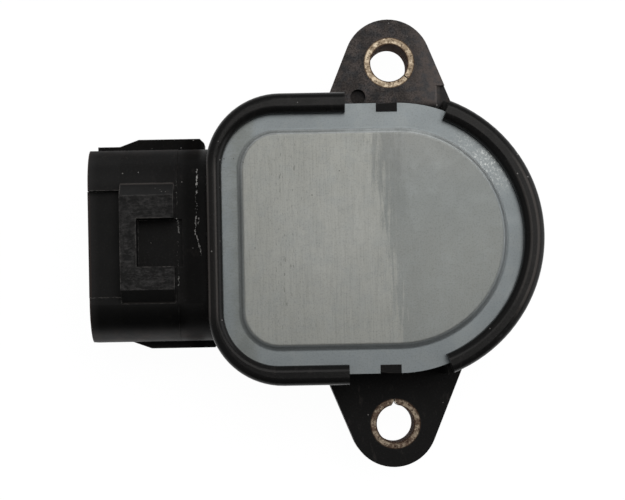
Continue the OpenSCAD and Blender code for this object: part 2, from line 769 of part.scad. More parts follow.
// A two-fingered leaf whose foot is staked at the given place and whose tips rise to the tracks
module brush(foot, inner, outer, side) {
    foot_half = 1.1 * track_w;
    finger_w = 0.8 * track_w;
    tip_r = 1.25 * leaf_t;
    tip_gap = 0.4 * leaf_t;
    tip_z = brush_h - track_t - tip_gap - tip_r;
    run = abs(foot[1]) - foot_half;
    color([0.78, 0.6, 0.34]) translate([0, 0, flange_z1]) rotate([0, 0, rest_angle]) {
        difference() {
            translate([inner - finger_w / 2, foot[1] - foot_half, 0])
                cube([outer - inner + finger_w, 2 * foot_half, leaf_t]);
            translate([foot[0], foot[1], -past]) cylinder(r = peg_foot_r, h = leaf_t + 2 * past);
        }
        for (x = [inner, outer]) translate([x + finger_w / 2, 0, 0]) rotate([0, -90, 0])
            linear_extrude(finger_w) {
                polygon([[0, side * run], [leaf_t, side * (run + leaf_t / 4)],
                    [tip_z + leaf_t / 2, side * leaf_t / 2], [tip_z - leaf_t / 2, -side * leaf_t / 2]]);
                translate([tip_z, 0]) circle(r = tip_r);
            }
    }
}

module signal_brush() { brush(signal_foot(), track_radii[2], track_radii[3], -1); }
module idle_brush() { brush(idle_foot(), track_radii[0], track_radii[1], 1); }

// The wire's middle line: a straight leg, the turns, and a second straight leg
function coil_point(t) =
    let (a = coil_start_angle + (coil_end_angle - coil_start_angle) * t)
    [coil_r * cos(a), coil_r * sin(a), coil_z0 + (coil_z1 - coil_z0) * t];
function leg_point(a, z, run) = [coil_r * cos(a) - run * sin(a), coil_r * sin(a) + run * cos(a), z];
function heading(points, i) =
    let (d = points[min(i + 1, len(points) - 1)] - points[max(i - 1, 0)]) d / norm(d);

module return_spring() {
    steps = round(20 * spring_turns);
    sides = 8;
    line = concat([leg_point(coil_start_angle, coil_z0, -fixed_leg)],
        [for (i = [0:steps]) coil_point(i / steps)],
        [leg_point(coil_end_angle, coil_z1, moving_leg)]);
    last = len(line) - 1;
    points = [for (i = [0:last], k = [0:sides - 1])
        let (t = heading(line, i), flat = [t[1], -t[0], 0] / norm([t[0], t[1]]), up = cross(flat, t),
            a = 360 * k / sides)
        line[i] + wire_t / 2 * (cos(a) * flat + sin(a) * up)];
    walls = [for (i = [0:last - 1], k = [0:sides - 1])
        let (n = (k + 1) % sides)
        [i * sides + k, i * sides + n, (i + 1) * sides + n, (i + 1) * sides + k]];
    start = [[for (k = [sides - 1:-1:0]) k]];
    end = [[for (k = [0:sides - 1]) last * sides + k]];
    color([0.5, 0.52, 0.55]) polyhedron(points, concat(start, walls, end));
}

module thrust_washer() {
    color([0.3, 0.3, 0.32]) translate([0, 0, bearing_z1])
        tube(journal_r + slip, journal_r + slip + washer_w, washer_t);
}

module retaining_ring() {
    reach = 1.3;
    opening = 30;
    color([0.45, 0.46, 0.48]) translate([0, 0, ring_z1 - ring_t])
        sector(groove_r + slip, journal_r + reach, ring_t, opening, 360 - opening);
}

// A rubber ring with one lip against the journal, pressed into the spigot
module shaft_seal() {
    wall = 0.9;
    lip_z = 0.6;
    lip_back = [0.4, 1.1];
    lip_front = 0.3;
    lip = journal_r + slip;
    color([0.16, 0.15, 0.15]) translate([0, 0, seal_z0]) rotate_extrude() polygon([
        [recess_r, 0], [recess_r, seal_h], [lip + wall, seal_h], [lip + wall, wall],
        [lip + lip_back[0], lip_back[1]], [lip, lip_z], [lip + lip_front, 0]]);
}

module mounting_seal() {
    color([0.1, 0.1, 0.11]) translate([0, 0, oring_t / 2 - oring_proud]) rotate_extrude()
        translate([oring_r, 0]) circle(r = oring_t / 2, $fn = 48);
}

housing();
cover_plate();
cover_gasket();
upper_ear_bush();
lower_ear_bush();
terminal_supply();
terminal_signal();
terminal_idle();
terminal_ground();
resistor_board();
resistor_tracks();
solder_joints();
rotor();
rotor_bearing();
rotor_drive_clip();
signal_brush();
idle_brush();
return_spring();
thrust_washer();
retaining_ring();
shaft_seal();
mounting_seal();
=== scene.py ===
"""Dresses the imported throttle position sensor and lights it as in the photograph.

The solids come from the frame and stay as they are. This script gives each of them its finish,
adds the small flakes that lie on the surface, and sets up the camera, the light and the floor.
"""

import json
import logging
import math
import random
from dataclasses import dataclass, field
from enum import Enum

import bmesh
import bpy
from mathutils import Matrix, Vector
from mathutils.bvhtree import BVHTree


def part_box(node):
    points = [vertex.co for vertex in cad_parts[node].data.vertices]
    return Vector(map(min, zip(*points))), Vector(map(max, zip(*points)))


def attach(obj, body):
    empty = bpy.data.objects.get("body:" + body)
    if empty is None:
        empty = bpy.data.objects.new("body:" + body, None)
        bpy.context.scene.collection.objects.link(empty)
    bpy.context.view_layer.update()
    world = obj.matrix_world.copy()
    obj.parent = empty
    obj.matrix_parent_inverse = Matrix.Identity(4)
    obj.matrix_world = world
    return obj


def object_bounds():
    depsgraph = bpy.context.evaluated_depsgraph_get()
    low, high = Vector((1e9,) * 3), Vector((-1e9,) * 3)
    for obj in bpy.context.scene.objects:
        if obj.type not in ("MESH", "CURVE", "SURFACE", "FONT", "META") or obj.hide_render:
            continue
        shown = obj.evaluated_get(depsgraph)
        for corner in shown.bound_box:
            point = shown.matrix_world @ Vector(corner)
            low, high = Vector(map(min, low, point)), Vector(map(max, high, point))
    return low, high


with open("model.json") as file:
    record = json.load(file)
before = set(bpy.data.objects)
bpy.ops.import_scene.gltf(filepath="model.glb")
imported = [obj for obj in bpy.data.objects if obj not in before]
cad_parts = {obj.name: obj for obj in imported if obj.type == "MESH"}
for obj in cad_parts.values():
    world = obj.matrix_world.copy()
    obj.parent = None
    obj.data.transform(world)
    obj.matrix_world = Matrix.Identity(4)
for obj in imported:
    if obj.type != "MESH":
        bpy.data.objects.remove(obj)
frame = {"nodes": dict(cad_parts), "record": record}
cad_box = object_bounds()

LOG = logging.getLogger("sensor")
MM = 0.001
Colour = tuple[float, float, float]
Point = tuple[float, float, float]
Span = tuple[float, float]
Spot = tuple[float, float]
Socket = bpy.types.NodeSocket
Value = float | Socket
Paint = Colour | Socket
Layer = tuple[Value, Paint]


class Kind(Enum):
    """The kinds of arithmetic step that a recipe takes."""

    TIMES = "MULTIPLY"
    TIMES_PLUS = "MULTIPLY_ADD"
    MINUS = "SUBTRACT"
    LARGER = "MAXIMUM"
    WITHOUT_SIGN = "ABSOLUTE"
    ROOT = "SQRT"
    UNDER = "LESS_THAN"


@dataclass(frozen=True)
class Place:
    """The shaded point's coordinates in the part's own frame, in millimetres."""

    along: Socket
    across: Socket
    up: Socket


class Recipe:
    """Builds the node tree of one material, with places given in millimetres."""

    def __init__(self, name: str) -> None:
        """Starts an empty material.

        Args:
            name: the material's name.
        """
        self.material = bpy.data.materials.new(name)
        self.material.use_nodes = True
        self.tree = self.material.node_tree
        self.tree.nodes.clear()
        self.place = self._place()

    def node(self, kind: str, sockets: dict | None = None, **settings: object) -> bpy.types.Node:
        """Adds a node.

        Args:
            kind: the node's type.
            sockets: what goes into its sockets, by name or number: a value or another node's output.
            settings: the node's own properties.

        Returns:
            The new node.
        """
        made = self.tree.nodes.new(kind)
        for name, value in settings.items():
            setattr(made, name, value)
        for key, value in (sockets or {}).items():
            if isinstance(value, Socket):
                self.tree.links.new(value, made.inputs[key])
            else:
                made.inputs[key].default_value = value
        return made

    def _place(self) -> Socket:
        """Returns the place of the shaded point in the part's own frame, in millimetres."""
        local = self.node("ShaderNodeTexCoord").outputs["Object"]
        return self.node("ShaderNodeVectorMath", {0: local, 3: 1 / MM}, operation="SCALE").outputs[0]

    def axes(self) -> Place:
        """Returns the coordinates of the shaded point."""
        return Place(*self.node("ShaderNodeSeparateXYZ", {0: self.place}).outputs)

    def sum(self, kind: Kind, first: Value, second: Value = 0.0, third: Value = 0.0, clamp: bool = False) -> Socket:
        """Adds one arithmetic step.

        Args:
            kind: the kind of step.
            first: the first number or output.
            second: the second one.
            third: the third one, where the step takes it.
            clamp: whether the result stays between 0 and 1.

        Returns:
            The step's result.
        """
        inputs = {0: first, 1: second, 2: third}
        return self.node("ShaderNodeMath", inputs, operation=kind.value, use_clamp=clamp).outputs[0]

    def times(self, first: Value, *others: Value, clamp: bool = False) -> Value:
        """Multiplies numbers and masks.

        Args:
            first: the first number or mask.
            others: the others.
            clamp: whether the product stays between 0 and 1.

        Returns:
            The product.
        """
        for count, other in enumerate(others, 1):
            first = self.sum(Kind.TIMES, first, other, clamp=clamp and count == len(others))
        return first

    def scaled(self, value: Value, gain: float, base: Value, clamp: bool = False) -> Socket:
        """Returns a value times a gain, plus a base."""
        return self.sum(Kind.TIMES_PLUS, value, gain, base, clamp)

    def largest(self, first: Value, *others: Value) -> Value:
        """Takes the largest of several values.

        Args:
            first: the first value.
            others: the others.

        Returns:
            The largest one.
        """
        for other in others:
            first = self.sum(Kind.LARGER, first, other)
        return first

    def rest(self, mask: Value) -> Socket:
        """Returns the rest of a mask, which is 1 where the mask is 0."""
        return self.sum(Kind.MINUS, 1.0, mask)

    def stretched(self, along: Point) -> Socket:
        """Returns the place scaled by a factor on each axis, which draws a pattern out."""
        return self.node("ShaderNodeVectorMath", {0: self.place, 1: along}, operation="MULTIPLY").outputs[0]

    def noise(self, size: float, detail: float = 3.0, drawn: Point | None = None, rough: float = 0.5) -> Socket:
        """Adds a cloudy pattern.

        Args:
            size: the size of its features, in millimetres.
            detail: how many finer layers it has.
            drawn: the factor on each axis that draws it out, or None to leave it even.
            rough: the weight of the finer layers.

        Returns:
            The pattern, from 0 to 1.
        """
        where = self.stretched(drawn) if drawn else self.place
        inputs = {"Vector": where, "Scale": 1 / size, "Detail": detail, "Roughness": rough}
        return self.node("ShaderNodeTexNoise", inputs).outputs[0]

    def step(self, value: Value, low: float, high: float) -> Socket:
        """Returns 0 where a value is under low, 1 where it is over high, and smooth in between."""
        inputs = {"Value": value, "From Min": low, "From Max": high}
        return self.node("ShaderNodeMapRange", inputs, interpolation_type="SMOOTHSTEP").outputs[0]

    def under(self, value: Value, low: float, high: float) -> Socket:
        """Returns 1 where a value is under low, 0 where it is over high, and smooth in between."""
        return self.rest(self.step(value, low, high))

    def band(self, value: Value, middle: float, half: float, soft: float) -> Socket:
        """Returns 1 in a band round a middle value and 0 outside it, with soft sides."""
        away = self.sum(Kind.WITHOUT_SIGN, self.sum(Kind.MINUS, value, middle))
        return self.under(away, half, half + soft)

    def near(self, centre: Point, radius: float, soft: float) -> Socket:
        """Returns 1 within a radius of a point and 0 outside it, with a soft edge."""
        away = self.node("ShaderNodeVectorMath", {0: self.place, 1: centre}, operation="DISTANCE").outputs[1]
        return self.under(away, radius, radius + soft)

    def dots(self, size: float, share: float, radius: float) -> Socket:
        """Adds small scattered dots.

        Args:
            size: the distance between possible dots, in millimetres.
            share: the share of them that is drawn.
            radius: the radius of a dot, as a share of that distance.

        Returns:
            The mask of the dots.
        """
        cells = self.node("ShaderNodeTexVoronoi", {"Vector": self.place, "Scale": 1 / size})
        chosen = self.node("ShaderNodeSeparateColor", {0: cells.outputs["Color"]}).outputs[0]
        drawn = self.sum(Kind.UNDER, chosen, share)
        return self.times(drawn, self.under(cells.outputs["Distance"], 0.5 * radius, radius))

    def edges(self, width: float, blunt: float = 0.86, sharp: float = 0.995) -> Socket:
        """Finds the sharp edges.

        Args:
            width: how far from an edge the mask reaches, in millimetres.
            blunt: the match of the rounded and the plain normal at which the mask is full.
            sharp: the match at which it ends.

        Returns:
            The mask of the edges.
        """
        soft = self.node("ShaderNodeBevel", {"Radius": width * MM}, samples=6).outputs[0]
        plain = self.node("ShaderNodeNewGeometry").outputs["Normal"]
        match = self.node("ShaderNodeVectorMath", {0: soft, 1: plain}, operation="DOT_PRODUCT").outputs[1]
        return self.under(match, blunt, sharp)

    def mix(self, share: Value, first: Paint, second: Paint) -> Socket:
        """Returns two colours mixed, with a share of the second one."""
        colours = [paint if isinstance(paint, Socket) else (*paint, 1.0) for paint in (first, second)]
        inputs = {0: share, 6: colours[0], 7: colours[1]}
        return self.node("ShaderNodeMix", inputs, data_type="RGBA").outputs[2]

    def painted(self, ground: Paint, layers: list[Layer]) -> Paint:
        """Lays coats of paint over a ground.

        Args:
            ground: the colour underneath.
            layers: for each coat, from the lowest up, its share and its colour.

        Returns:
            The colour on top.
        """
        for share, colour in layers:
            ground = self.mix(share, ground, colour)
        return ground

    def bump(self, height: Value, depth: float, strength: float = 1.0, normal: Socket | None = None) -> Socket:
        """Makes a normal that follows a height pattern.

        Args:
            height: the pattern, from 0 to 1.
            depth: its depth in millimetres.
            strength: how much of it shows.
            normal: an earlier bump that this one goes on top of.

        Returns:
            The normal.
        """
        inputs = {"Height": height, "Distance": depth * MM, "Strength": strength}
        if normal is not None:
            inputs["Normal"] = normal
        return self.node("ShaderNodeBump", inputs).outputs[0]

    def finish(self, **sockets: object) -> bpy.types.Material:
        """Adds the surface and the output.

        Args:
            sockets: the surface's sockets, with underscores for the spaces in their names.

        Returns:
            The finished material.
        """
        inputs = {name.replace("_", " "): value for name, value in sockets.items()}
        surface = self.node("ShaderNodeBsdfPrincipled", inputs)
        self.node("ShaderNodeOutputMaterial", {0: surface.outputs[0]})
        return self.material


@dataclass(frozen=True)
class MouldedPlastic:
    """Black moulded plastic that is scuffed and dusty, with painted shade, painted highlights and a painted brown
    sheen, paler at its edges partly by painted highlight and partly by wear, with its places in millimetres.
    """

    name: str = "black_plastic"
    colour: Colour = (0.0042, 0.0040, 0.0040)
    edge_light_and_wear_colour: Colour = (0.15, 0.14, 0.135)
    film_colour: Colour = (0.190, 0.160, 0.148)
    film_cool: Colour = (0.130, 0.124, 0.128)
    scuff_colour: Colour = (0.105, 0.102, 0.102)
    grit_colour: Colour = (0.030, 0.028, 0.027)
    lighter_tone_colour: Colour = (0.011, 0.011, 0.011)
    highlight_line_colour: Colour = (0.095, 0.085, 0.080)
    sheen_brown_colour: Colour = (0.055, 0.034, 0.028)
    # the colour of the painted shade on the sides and hollows that lie in shade
    painted_shade_colour: Colour = (0.0020, 0.0020, 0.0018)
    dust_colour: Colour = (0.30, 0.29, 0.28)
    roughness: float = 0.56
    rim_roughness: float = 0.27
    gloss: float = 0.175
    ear_line: float = 19.2
    ear_top: float = 5.6
    mouth_x: float = -41.0
    channel_end: float = -36.5
    hood_line: float = -28.0
    neck_end: float = -25.6
    neck_x: Span = (-29.0, -27.6)
    hood_top: float = 14.4
    low_side_y: Span = (7.9, 8.2)
    low_side_up: Span = (11.0, 12.6)
    upper_side_y: Span = (10.6, 12.0)
    lighter_tone_x: Span = (-33.0, -29.2)
    lighter_tone_up: Span = (13.0, 14.6)
    channel_up: Span = (12.0, 13.2)
    brown_y: Span = (11.0, 12.9)
    brown_up: Span = (3.0, 12.0)
    film_right_x: Span = (0.5, 8.0)
    block_x: float = -33.15
    block_half: float = 3.45
    block_top: float = 16.3
    slope_y: float = 7.12
    slope_half: float = 0.82
    slope_foot_y: float = 7.93
    rim_foot: float = 16.4
    rim_outer_x: float = -24.95
    rim_between_x: float = -24.52
    rim_crest_x: float = -23.97
    rim_inner_x: float = -23.48
    rim_crumbs_x: float = -23.2
    rim_straight_half: float = 8.5
    rim_straight_fade: float = 3.5
    round_x: Span = (14.0, 17.0)
    round_crest_r: float = 17.42
    round_shoulder_r: float = 18.36

    def material(self) -> bpy.types.Material:
        """Lays the film, scuffs, a lighter tone, painted shade, painted highlight lines, a painted brown sheen and dust
        over the black, and sets the gloss and the grain.

        Returns:
            The plastic.
        """
        make = Recipe(self.name)
        at = make.axes()
        cloud = make.noise(2.6, detail=4.0)
        speckle = make.step(make.noise(0.24, rough=0.7), 0.36, 0.66)
        on_hood = make.under(at.along, self.hood_line - 0.4, self.hood_line)
        on_rim = make.times(make.step(at.up, self.rim_foot, self.rim_foot + 0.3), make.rest(on_hood))
        before_rim = self.before_rim(make, at)
        on_neck = make.times(make.step(at.along, *self.neck_x), before_rim)
        low_side = make.times(before_rim, make.step(make.times(at.across, -1.0), *self.low_side_y),
                              make.step(at.up, *self.low_side_up))
        upper_side = make.times(make.step(at.across, *self.upper_side_y), before_rim)
        low_slope = self.low_slope(make, at)
        # painted shade: the hood's low side, the lock block's lower sloped face, the neck by the body's wall and the
        # rim's inner side are darkened where shade falls
        painted_shade = make.largest(make.times(low_side, 0.72), make.times(low_slope, 0.8), make.times(on_neck, 0.5),
                             make.times(self.rim_inner_side(make, at), 0.85))
        scuff = make.step(make.noise(0.9, detail=5.0, drawn=(1.0, 0.35, 1.0), rough=0.62), 0.58, 0.72)
        film = make.mix(make.step(make.noise(1.1), 0.42, 0.62), self.film_colour, self.film_cool)
        # the rim's share of this lighter tone is a painted sheen
        lighter_tone_and_sheen = make.largest(self.lighter_tone_and_sheen(make, at, on_hood, speckle), make.times(on_rim, 0.6))
        grit = make.times(make.step(make.noise(0.26, rough=0.7), 0.54, 0.74), 0.5)
        mouth = make.times(make.under(at.along, self.mouth_x - 0.2, self.mouth_x + 1.4), 0.15)
        paint = make.painted(self.colour, [
            (self.ear_film(make, at, cloud, speckle), film),
            (make.times(scuff, 0.12), self.film_colour),
            (lighter_tone_and_sheen, self.lighter_tone_colour),
            (grit, self.grit_colour),
            (painted_shade, self.painted_shade_colour),
            (mouth, self.scuff_colour),
            (self.block_scuffs(make, at, on_hood), self.scuff_colour),
            # painted highlight lines at the lock block's feet and along the rim
            (self.painted_foot_highlights(make, at), self.highlight_line_colour),
            (self.painted_rim_highlights(make, at), self.highlight_line_colour),
            # painted brown sheen, a painted reflection on the hood's sides and mouth
            (self.painted_brown_sheen(make, at), self.sheen_brown_colour),
            # painted edge highlights, partly rubbed wear
            (self.lit_and_worn_edges(make, at), self.edge_light_and_wear_colour),
            (make.dots(1.3, share=0.13, radius=0.09), self.dust_colour),
            (self.crumbs(make, at), self.dust_colour),
        ])
        gloss = make.scaled(cloud, 0.16, self.roughness - 0.08)
        changes = ((on_rim, self.rim_roughness - self.roughness), (low_slope, 0.28), (low_side, -0.18),
                   (on_neck, 0.16), (upper_side, 0.24))
        for mask, change in changes:
            gloss = make.scaled(mask, change, gloss)
        grain = make.bump(make.noise(0.11, detail=2.0), depth=0.010, strength=0.6)
        relief = make.bump(make.noise(0.5), depth=0.02, strength=0.5, normal=grain)
        return make.finish(Base_Color=paint, Roughness=gloss, Specular_IOR_Level=self.gloss, Normal=relief)

    def before_rim(self, make: Recipe, at: Place) -> Socket:
        """Returns a mask of the hood and its neck, up to the body."""
        return make.under(at.along, self.neck_end - 1.0, self.neck_end)

    def ear_film(self, make: Recipe, at: Place, cloud: Socket, speckle: Socket) -> Value:
        """Lays the dusty film on the upper ear's face, and makes the face lighter towards its right side.

        Args:
            make: the recipe that takes the mask.
            at: the shaded point.
            cloud: the slow pattern that the film follows.
            speckle: the fine pattern in it.

        Returns:
            The mask of the film.
        """
        face = make.scaled(make.step(at.up, self.ear_top - 0.4, self.ear_top - 0.15), 0.7, 0.3)
        face = make.times(face, make.under(at.up, self.ear_top, self.ear_top + 0.3))
        on_ear = make.times(make.step(at.across, self.ear_line - 0.4, self.ear_line + 0.6), face)
        film = make.times(make.scaled(make.step(cloud, 0.35, 0.65), 0.36, 0.36), make.scaled(speckle, 1.30, 0.35))
        film = make.scaled(make.step(at.along, *self.film_right_x), 0.56, film)
        return make.times(film, on_ear, clamp=True)

    def lighter_tone_and_sheen(self, make: Recipe, at: Place, on_hood: Socket, speckle: Socket) -> Socket:
        """Lightens the hood's top and the latch channel, and lays a speckle everywhere.

        Args:
            make: the recipe that takes the mask.
            at: the shaded point.
            on_hood: the mask of the hood.
            speckle: the fine pattern in it.

        Returns:
            The mask of the haze.
        """
        top = make.times(on_hood, make.step(at.up, *self.lighter_tone_up), make.under(at.along, *self.lighter_tone_x))
        channel = make.times(make.under(at.along, self.channel_end - 0.4, self.channel_end),
                             make.step(at.up, *self.channel_up), 1.6)
        return make.scaled(speckle, 0.35, make.times(make.largest(top, channel), 0.5), clamp=True)

    def low_slope(self, make: Recipe, at: Place) -> Value:
        """Returns a mask of the lock block's lower sloped face, which gets painted shade."""
        return make.times(make.band(at.across, -self.slope_y, self.slope_half, 0.08),
                          make.step(at.up, self.hood_top + 0.05, self.hood_top + 0.2), self.before_rim(make, at))

    def block_scuffs(self, make: Recipe, at: Place, on_hood: Socket) -> Value:
        """Lays scratches and blotches on the lock block's top.

        Args:
            make: the recipe that takes the mask.
            at: the shaded point.
            on_hood: the mask of the hood.

        Returns:
            The mask of the scuffs.
        """
        top = make.times(on_hood, make.step(at.up, self.block_top, self.block_top + 0.1))
        scratches = make.step(make.noise(0.34, detail=4.0, drawn=(0.4, 1.0, 1.0), rough=0.7), 0.46, 0.68)
        blotches = make.step(make.noise(0.8, detail=4.0, rough=0.65), 0.44, 0.62)
        return make.times(top, make.scaled(scratches, 0.30, make.times(blotches, 0.17)), clamp=True)

    def painted_foot_highlights(self, make: Recipe, at: Place) -> Value:
        """Draws thin pale lines of painted highlight at the feet of the lock block's slopes, the upper one stronger.

        Args:
            make: the recipe that takes the mask.
            at: the shaded point.

        Returns:
            The mask of the lines.
        """
        line = make.band(make.sum(Kind.WITHOUT_SIGN, at.across), self.slope_foot_y, 0.06, 0.09)
        line = make.times(line, make.band(at.along, self.block_x, self.block_half, 0.15),
                          make.step(at.up, self.hood_top - 0.2, self.hood_top - 0.05))
        return make.times(line, make.scaled(make.step(at.across, -1.0, 1.0), 0.40, 0.26))

    def rim_line(self, make: Recipe, at: Place, line_x: float, half: float, soft: float) -> Value:
        """Returns a mask of a line on the rim's straight side, which fades towards its corners."""
        length = make.band(at.across, 0.0, self.rim_straight_half, self.rim_straight_fade)
        return make.times(make.band(at.along, line_x, half, soft), length)

    def rim_inner_side(self, make: Recipe, at: Place) -> Value:
        """Returns a mask of the inner side of the rim's straight part, which gets painted shade."""
        inner = self.rim_line(make, at, self.rim_inner_x, 0.20, 0.08)
        return make.times(inner, make.step(at.up, self.rim_foot - 0.1, self.rim_foot + 0.1))

    def painted_rim_highlights(self, make: Recipe, at: Place) -> Value:
        """Finds the rim's pale lines of painted highlight, on the connector side and on the round side.

        Args:
            make: the recipe that takes the mask.
            at: the shaded point.

        Returns:
            The mask of the lines.
        """
        squares = make.sum(Kind.TIMES_PLUS, at.along, at.along, make.times(at.across, at.across))
        radius = make.sum(Kind.ROOT, squares)
        round_side = make.largest(make.times(make.band(radius, self.round_crest_r, 0.05, 0.22), 0.5),
                                  make.band(radius, self.round_shoulder_r, 0.07, 0.2))
        straight = make.largest(self.rim_line(make, at, self.rim_outer_x, 0.06, 0.16),
                                make.times(self.rim_line(make, at, self.rim_crest_x, 0.05, 0.16), 0.75),
                                make.times(self.rim_line(make, at, self.rim_between_x, 0.24, 0.14), 0.12))
        both = make.largest(make.times(round_side, make.step(at.along, *self.round_x), 0.85), make.times(straight, 0.8))
        return make.times(both, make.step(at.up, self.rim_foot + 0.2, self.rim_foot + 0.4))

    def painted_brown_sheen(self, make: Recipe, at: Place) -> Value:
        """Finds where a brown sheen is painted: a painted reflection on the hood's rounded sides, the lower one more,
        and a painted highlight at its mouth.

        Args:
            make: the recipe that takes the mask.
            at: the shaded point.

        Returns:
            The mask of the painted brown sheen.
        """
        aside = make.sum(Kind.WITHOUT_SIGN, at.across)
        sides = make.times(make.step(aside, *self.brown_y), make.step(at.up, *self.brown_up),
                           make.step(make.noise(1.6, detail=4.0), 0.30, 0.70),
                           make.scaled(make.step(at.across, -1.0, 1.0), -0.38, 0.5))
        mouth = make.times(make.band(at.along, self.mouth_x, 0.08, 0.12), 0.5)
        return make.times(make.under(at.along, self.neck_end - 0.6, self.neck_end), make.largest(sides, mouth))

    def lit_and_worn_edges(self, make: Recipe, at: Place) -> Value:
        """Returns a mask of the paler edges, painted edge highlights that are partly rubbed wear, strong on the hood
        and faint past its end.
        """
        broken = make.scaled(make.step(make.noise(0.7, detail=4.0, rough=0.6), 0.44, 0.58), 0.85, 0.10)
        before_neck = make.under(at.along, self.hood_line - 1.62, self.hood_line - 1.42)
        return make.times(make.edges(0.28), make.times(broken, make.scaled(before_neck, 0.65, 0.13)), clamp=True)

    def crumbs(self, make: Recipe, at: Place) -> Value:
        """Scatters crumbs of dust on the inner side of the rim's straight part.

        Args:
            make: the recipe that takes the mask.
            at: the shaded point.

        Returns:
            The mask of the crumbs.
        """
        strip = make.times(make.band(at.along, self.rim_crumbs_x, 0.35, 0.25), make.band(at.across, 4.0, 9.0, 2.0),
                           make.step(at.up, self.rim_foot - 0.1, self.rim_foot + 0.1), 0.55)
        return make.times(strip, make.dots(0.5, share=0.30, radius=0.20))


@dataclass(frozen=True)
class PlatedSheet:
    """Zinc-plated stamped sheet, brushed on the left part of the raised panel, with its places in millimetres."""

    panel_level: float
    panel_rise: float = 0.35
    name: str = "zinc_plate"
    border: Colour = (0.266, 0.297, 0.311)
    panel: Colour = (0.378, 0.388, 0.366)
    panel_light: Colour = (0.440, 0.450, 0.430)
    panel_cool: Colour = (0.270, 0.283, 0.277)
    panel_low: Colour = (0.243, 0.264, 0.262)
    painted_slope_light: Colour = (0.76, 0.80, 0.80)
    streak_and_shade: Colour = (0.19, 0.20, 0.18)
    bluish: Colour = (0.320, 0.345, 0.345)
    mottle: Colour = (0.26, 0.28, 0.29)
    stain: Colour = (0.07, 0.075, 0.07)
    glint: Colour = (0.56, 0.59, 0.58)
    metallic: float = 0.92
    roughness: float = 0.44
    seam_x: float = -1.2
    seam_lean: float = 0.155
    seam_fade_y: Span = (-4.0, 8.0)
    reflection_band_y: Span = (-4.0, 12.0)
    lit_y: Span = (4.0, 13.0)
    cool_y: Span = (4.0, 14.0)
    rim_shade_x: Span = (-22.9, -20.9)
    rim_shade_end: Span = (-19.6, -18.2)
    combed_end: Span = (-19.8, -17.8)
    dashes_x: float = -14.6
    bright_spot: Spot = (-7.5, -0.5)
    stained_spot: Spot = (-22.2, 9.4)
    glint_spots: tuple[tuple[float, float, float, float], ...] = (
        (11.9, 10.3, 0.6, 1.0), (9.0, 12.3, 0.4, 0.55), (13.5, 8.0, 0.4, 0.75))

    def material(self) -> bpy.types.Material:
        """Lays the brush lines and the stains over the sheet, with painted shade by the rim, painted light on the step
        round the panel, a painted dark reflection band and painted glints.

        Returns:
            The plating.
        """
        make = Recipe(self.name)
        at = make.axes()
        foot = self.panel_level - self.panel_rise
        raised = make.step(at.up, self.panel_level - 0.06, self.panel_level - 0.005)
        sloped = make.sum(Kind.MINUS, make.step(at.up, foot + 0.005, foot + 0.10), raised, clamp=True)
        cloud = make.noise(3.0, detail=4.0)
        patch = make.noise(0.7, detail=4.0, rough=0.6)
        fine = make.noise(0.21, rough=0.6)
        lines = make.noise(0.20, detail=4.0, drawn=(1.0, 0.045, 1.0), rough=0.7)
        seam = self.seam(make, at, patch)
        left = make.largest(make.under(seam, self.seam_x + 0.3, self.seam_x + 3.5),
                            make.scaled(make.step(at.across, *self.seam_fade_y), -0.32, 0.32))
        brushed = make.times(raised, make.scaled(left, 0.85, 0.15))
        bright = self.painted_glints(make, at, sloped)
        lit = make.scaled(make.step(at.across, *self.lit_y), 0.6, 0.3)
        # painted reflection: a dark band along the seam
        dark_reflection_band = make.times(make.band(seam, self.seam_x + 3.3, 0.6, 2.0), raised,
                          make.scaled(make.step(at.across, *self.reflection_band_y), 0.12, 0.05))
        cool = make.step(make.noise(2.2, detail=4.0, rough=0.6), 0.44, 0.66)
        paint = make.painted(self.border_paint(make, at), [
            (raised, self.panel_paint(make, at, left, cloud)),
            # painted light on the step round the panel, stronger on its upper side
            (make.times(sloped, lit), self.painted_slope_light),
            (dark_reflection_band, self.stain),
            (make.times(cool, 0.30), self.bluish),
            (make.times(brushed, make.step(lines, 0.40, 0.70), 0.26), self.streak_and_shade),
            (make.times(make.step(patch, 0.42, 0.68), 0.14), self.mottle),
            (make.times(make.step(fine, 0.48, 0.68), 0.17), self.stain),
            (self.combed_border(make, at, raised), self.streak_and_shade),
            (self.dashes(make, at, brushed), self.stain),
            (self.stains(make), self.stain),
            # painted glints on the border by the round end
            (bright, self.glint),
        ])
        gloss = make.scaled(cloud, 0.12, self.roughness - 0.06)
        gloss = make.scaled(bright, -0.12, make.scaled(sloped, 0.08, gloss))
        relief = make.bump(make.times(lines, brushed), depth=0.010, strength=0.6)
        relief = make.bump(fine, depth=0.008, strength=0.6, normal=relief)
        return make.finish(Base_Color=paint, Metallic=self.metallic, Roughness=gloss, Normal=relief)

    def on_panel(self, spot: Spot) -> Point:
        """Returns a spot on the raised panel as a point."""
        return (*spot, self.panel_level)

    def seam(self, make: Recipe, at: Place, patch: Socket) -> Socket:
        """Draws the leaning, ragged seam between the brushed part and the plain part.

        Args:
            make: the recipe that takes the mask.
            at: the shaded point.
            patch: the pattern that bends it.

        Returns:
            The place across the seam, in millimetres.
        """
        lean = make.scaled(at.across, self.seam_lean, at.along)
        strokes = make.noise(0.55, detail=4.0, drawn=(1.0, 0.10, 1.0), rough=0.65)
        return make.scaled(make.step(strokes, 0.34, 0.66), 2.2, make.scaled(patch, 1.2, lean))

    def border_paint(self, make: Recipe, at: Place) -> Socket:
        """Returns the border's colour, with painted shade by the rim on its left side."""
        shaded = make.times(make.step(at.along, *self.rim_shade_x), make.under(at.along, *self.rim_shade_end))
        return make.mix(make.times(shaded, 0.5), self.border, self.streak_and_shade)

